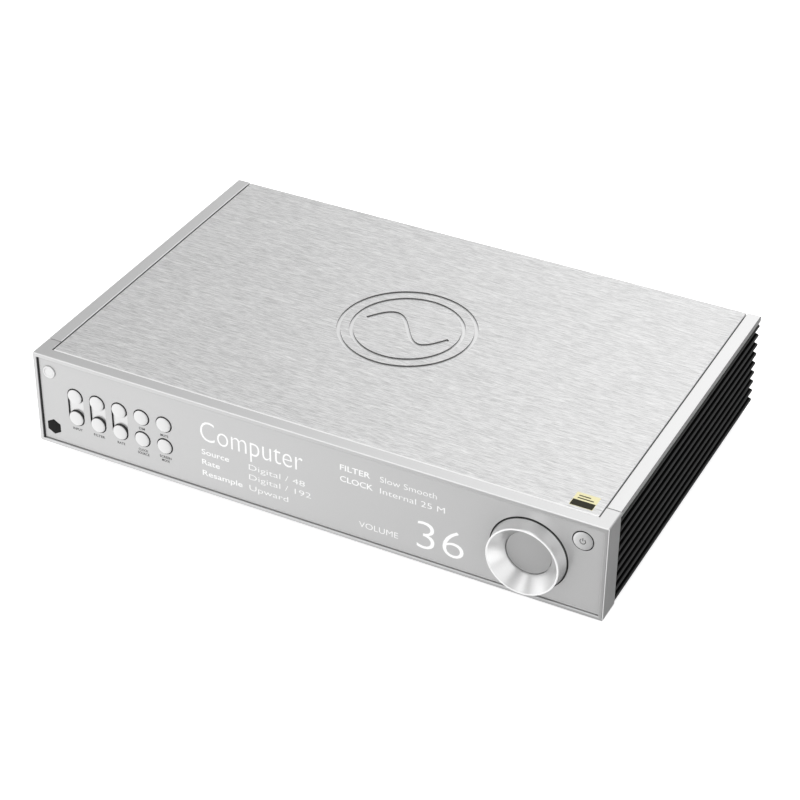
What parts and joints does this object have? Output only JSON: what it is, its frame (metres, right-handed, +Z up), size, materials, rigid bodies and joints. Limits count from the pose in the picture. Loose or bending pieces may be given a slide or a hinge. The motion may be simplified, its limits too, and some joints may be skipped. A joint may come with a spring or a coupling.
{
  "type": "desktop digital-to-analogue converter",
  "caption": "Full-width metal audio converter with display front, push keys, a turning dished knob, finned sides and a rear panel of sockets.",
  "frame": {"origin": "on the surface that the four feet stand on, under the middle of the overall box", "axes": "+X to the right as seen from the front, +Y to the rear, +Z up; the controls face -Y"},
  "size_m": [0.43, 0.299, 0.083],
  "materials": {
    "satin_aluminium": "fine bead-blasted, clear anodised",
    "brushed_aluminium": "brushed along its width, clear anodised",
    "silver_panel": "satin silver coat on acrylic that a display shows through",
    "bright_aluminium": "turned, clear anodised",
    "black_anodised": "black anodised",
    "black_plastic": "moulded, fine grain",
    "black_rubber": "matt",
    "zinc_steel": "zinc plated",
    "green_board": "solder resist on glass fibre",
    "gold_plate": "gold plated",
    "dark_window": "smoked, polished",
    "lacquered_copper": "lacquered windings"
  },
  "bodies": {
    "chassis": {"front_bezel": "satin_aluminium", "panel_gasket": "black_rubber", "front_panel": "silver_panel", "top_cover": "brushed_aluminium", "side_rail_left": "satin_aluminium", "side_rail_right": "satin_aluminium", "fin_panel_left": "black_anodised", "fin_panel_right": "black_anodised", "bottom_pan": "zinc_steel", "rear_panel": "satin_aluminium", "foot_front_left": "satin_aluminium", "foot_pad_front_left": "black_rubber", "foot_front_right": "satin_aluminium", "foot_pad_front_right": "black_rubber", "foot_rear_left": "satin_aluminium", "foot_pad_rear_left": "black_rubber", "foot_rear_right": "satin_aluminium", "foot_pad_rear_right": "black_rubber", "key_bridge_input": "bright_aluminium", "key_bridge_filter": "bright_aluminium", "key_bridge_sampling": "bright_aluminium", "key_carrier": "black_plastic", "key_board": "green_board", "power_switch": "black_plastic", "remote_window": "dark_window", "badge": "bright_aluminium", "encoder_body": "black_plastic", "front_subframe": "zinc_steel", "display_module": "green_board", "ribbon_cable": "black_plastic", "main_board": "green_board", "power_supply": "zinc_steel", "toroidal_transformer": "lacquered_copper", "xlr_left_output": "black_plastic", "xlr_right_output": "black_plastic", "rca_left_output": "gold_plate", "rca_right_output": "gold_plate", "coaxial_input": "gold_plate", "clock_input": "zinc_steel", "usb_input": "zinc_steel", "optical_input": "black_plastic", "rocker_frame": "black_plastic", "mains_inlet": "black_plastic"},
    "knob": {"volume_knob": "satin_aluminium", "knob_cap": "silver_panel", "encoder_shaft": "zinc_steel"},
    "power_key": {"power_button": "bright_aluminium"},
    "rocker": {"mains_rocker": "black_plastic"},
    "shutter": {"optical_shutter": "black_plastic"},
    "drawer": {"fuse_drawer": "black_plastic"},
    "input_up_key": {"input_up_button": "bright_aluminium"},
    "input_down_key": {"input_down_button": "bright_aluminium"},
    "filter_up_key": {"filter_up_button": "bright_aluminium"},
    "filter_down_key": {"filter_down_button": "bright_aluminium"},
    "sampling_up_key": {"sampling_up_button": "bright_aluminium"},
    "sampling_down_key": {"sampling_down_button": "bright_aluminium"},
    "dimmer_key": {"dimmer_button": "bright_aluminium"},
    "mute_key": {"mute_button": "bright_aluminium"},
    "clock_key": {"clock_button": "bright_aluminium"},
    "display_key": {"display_button": "bright_aluminium"}
  },
  "joints": [
    {"name": "knob_turn", "type": "hinge", "parent": "chassis", "child": "knob", "pos_m": [0.1614, -0.1385, 0.044], "axis": [0, 1, 0], "continuous": true},
    {"name": "input_up_key_press", "type": "slide", "parent": "chassis", "child": "input_up_key", "axis": [0, 1, 0], "range_m": [0, 0.0012], "stiffness_N_per_m": 1000, "springref_m": -0.0004},
    {"name": "input_down_key_press", "type": "slide", "parent": "chassis", "child": "input_down_key", "axis": [0, 1, 0], "range_m": [0, 0.0012], "stiffness_N_per_m": 1000, "springref_m": -0.0004},
    {"name": "filter_up_key_press", "type": "slide", "parent": "chassis", "child": "filter_up_key", "axis": [0, 1, 0], "range_m": [0, 0.0012], "stiffness_N_per_m": 1000, "springref_m": -0.0004},
    {"name": "filter_down_key_press", "type": "slide", "parent": "chassis", "child": "filter_down_key", "axis": [0, 1, 0], "range_m": [0, 0.0012], "stiffness_N_per_m": 1000, "springref_m": -0.0004},
    {"name": "sampling_up_key_press", "type": "slide", "parent": "chassis", "child": "sampling_up_key", "axis": [0, 1, 0], "range_m": [0, 0.0012], "stiffness_N_per_m": 1000, "springref_m": -0.0004},
    {"name": "sampling_down_key_press", "type": "slide", "parent": "chassis", "child": "sampling_down_key", "axis": [0, 1, 0], "range_m": [0, 0.0012], "stiffness_N_per_m": 1000, "springref_m": -0.0004},
    {"name": "dimmer_key_press", "type": "slide", "parent": "chassis", "child": "dimmer_key", "axis": [0, 1, 0], "range_m": [0, 0.0012], "stiffness_N_per_m": 1000, "springref_m": -0.0004},
    {"name": "mute_key_press", "type": "slide", "parent": "chassis", "child": "mute_key", "axis": [0, 1, 0], "range_m": [0, 0.0012], "stiffness_N_per_m": 1000, "springref_m": -0.0004},
    {"name": "clock_key_press", "type": "slide", "parent": "chassis", "child": "clock_key", "axis": [0, 1, 0], "range_m": [0, 0.0012], "stiffness_N_per_m": 1000, "springref_m": -0.0004},
    {"name": "display_key_press", "type": "slide", "parent": "chassis", "child": "display_key", "axis": [0, 1, 0], "range_m": [0, 0.0012], "stiffness_N_per_m": 1000, "springref_m": -0.0004},
    {"name": "power_key_press", "type": "slide", "parent": "chassis", "child": "power_key", "axis": [0, 1, 0], "range_m": [0, 0.0012], "stiffness_N_per_m": 1000, "springref_m": -0.0004},
    {"name": "mains_rocker_tilt", "type": "hinge", "parent": "chassis", "child": "rocker", "pos_m": [-0.112, 0.14, 0.046], "axis": [1, 0, 0], "range_deg": [-16, 0]},
    {"name": "optical_shutter_swing", "type": "hinge", "parent": "chassis", "child": "shutter", "pos_m": [0.012, 0.1422, 0.0491], "axis": [1, 0, 0], "range_deg": [-85, 0], "stiffness_Nm_per_rad": 0.0002, "springref_deg": 17.19},
    {"name": "fuse_drawer_slide", "type": "slide", "parent": "chassis", "child": "drawer", "axis": [0, 1, 0], "range_m": [0, 0.014]}
  ]
}
